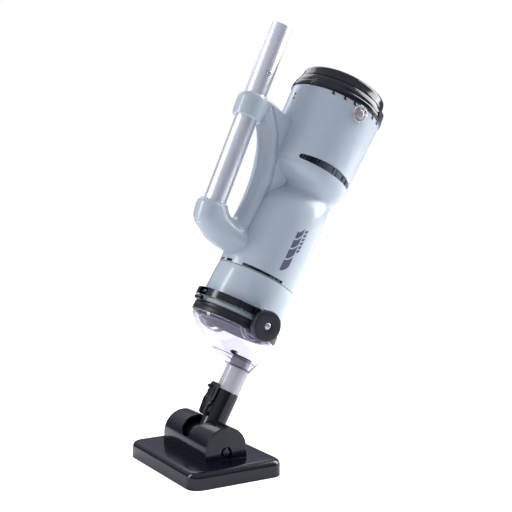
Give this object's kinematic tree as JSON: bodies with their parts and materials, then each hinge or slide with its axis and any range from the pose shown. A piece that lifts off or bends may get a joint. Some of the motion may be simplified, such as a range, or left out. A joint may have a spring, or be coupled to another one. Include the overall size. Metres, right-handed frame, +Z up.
{
  "type": "cordless hand and stick vacuum",
  "caption": "Cordless wet vacuum: leaning barrel with loop handle and pole, clear nose cone, swivelling floor head.",
  "frame": {"origin": "centre of the handle's grip", "axes": "+X along the floor head's swivel axis, +Y the way the barrel leans, +Z up"},
  "size_m": [0.1982, 0.362, 0.626],
  "materials": {
    "housing_plastic": "satin moulded",
    "black_plastic": "gloss moulded",
    "seal_rubber": "matt",
    "lip_rubber": "ribbed matt",
    "clear_plastic": "clear polycarbonate",
    "inner_plastic": "moulded",
    "steel": "plated",
    "contact_brass": "dull",
    "cell_wrap": "shrink wrap",
    "circuit_board": "solder mask",
    "aluminium": "satin anodised",
    "filter_cloth": "fine mesh",
    "bristle": "brush"
  },
  "bodies": {
    "housing": {"main_shell": "housing_plastic", "handle": "housing_plastic", "lower_collar": "housing_plastic", "upper_vent_liner": "seal_rubber", "lower_vent_liner": "seal_rubber", "bulkhead": "inner_plastic", "shaft_seal": "seal_rubber", "motor": "steel", "motor_end_bell": "black_plastic", "battery_tray_lower": "inner_plastic", "battery_tray_upper": "inner_plastic", "battery_cell_1": "cell_wrap", "battery_cell_2": "cell_wrap", "battery_cell_3": "cell_wrap", "battery_cell_4": "cell_wrap", "control_board": "circuit_board", "charge_contact_upper": "contact_brass", "charge_contact_lower": "contact_brass", "battery_neck": "black_plastic", "switch_body": "black_plastic", "arm_screw": "steel", "horn_screw": "steel"},
    "cap": {"cap_ring": "black_plastic", "cap_disc": "black_plastic", "cap_seal": "seal_rubber"},
    "power_button": {"power_button": "clear_plastic"},
    "pole": {"pole": "aluminium", "snap_spring": "steel"},
    "snap_button": {"snap_button": "steel"},
    "bail": {"bail": "black_plastic", "knob_right": "black_plastic", "knob_left": "black_plastic", "knob_screw_right": "steel", "knob_screw_left": "steel"},
    "rotor": {"motor_shaft": "steel", "impeller": "black_plastic"},
    "nose": {"nose_ring": "black_plastic", "lip_gasket": "lip_rubber", "nose_cone": "clear_plastic", "intake_tube": "clear_plastic", "filter_frame": "inner_plastic", "filter_bag": "filter_cloth", "flap_pin": "steel"},
    "flap": {"flap_valve": "seal_rubber"},
    "neck": {"swivel_neck": "black_plastic"},
    "latch": {"latch_tab": "black_plastic"},
    "head": {"head_cover": "black_plastic", "head_plate": "black_plastic", "bristle_strip_front": "bristle", "bristle_strip_rear": "bristle", "cover_screw_1": "steel", "cover_screw_2": "steel", "cover_screw_3": "steel", "cover_screw_4": "steel"}
  },
  "joints": [
    {"name": "pole_slide", "type": "slide", "parent": "housing", "child": "pole", "axis": [0, 0.4034, 0.915], "range_m": [0, 0.15]},
    {"name": "snap_press", "type": "slide", "parent": "pole", "child": "snap_button", "axis": [-1, 0, 0], "range_m": [0, 0.0035], "stiffness_N_per_m": 500, "springref_m": -0.001},
    {"name": "cap_twist", "type": "hinge", "parent": "housing", "child": "cap", "pos_m": [0, 0.13305, 0.11466], "axis": [0, 0.4879, 0.8729], "range_deg": [0, 60]},
    {"name": "power_press", "type": "slide", "parent": "housing", "child": "power_button", "axis": [-1, 0, 0], "range_m": [0, 0.0015], "stiffness_N_per_m": 800, "springref_m": -0.0005},
    {"name": "bail_lift", "type": "hinge", "parent": "housing", "child": "bail", "pos_m": [0, -0.03941, -0.19392], "axis": [-1, 0, 0], "range_deg": [0, 8]},
    {"name": "motor_spin", "type": "hinge", "parent": "housing", "child": "rotor", "pos_m": [0, -0.00404, -0.13063], "axis": [0, 0.4879, 0.8729], "continuous": true},
    {"name": "nose_release", "type": "slide", "parent": "housing", "child": "nose", "axis": [0, -0.4879, -0.8729], "range_m": [0, 0.08]},
    {"name": "flap_swing", "type": "hinge", "parent": "nose", "child": "flap", "pos_m": [0, -0.04383, -0.24117], "axis": [1, 0, 0], "range_deg": [0, 65]},
    {"name": "neck_release", "type": "slide", "parent": "nose", "child": "neck", "axis": [0, -0.4879, -0.8729], "range_m": [0, 0.029]},
    {"name": "latch_flex", "type": "hinge", "parent": "neck", "child": "latch", "pos_m": [0, -0.09622, -0.32426], "axis": [1, 0, 0], "range_deg": [0, 6], "stiffness_Nm_per_rad": 0.4, "springref_deg": -2.86},
    {"name": "head_swivel", "type": "hinge", "parent": "neck", "child": "head", "pos_m": [0, -0.09331, -0.36599], "axis": [1, 0, 0], "range_deg": [-60, 14]}
  ]
}
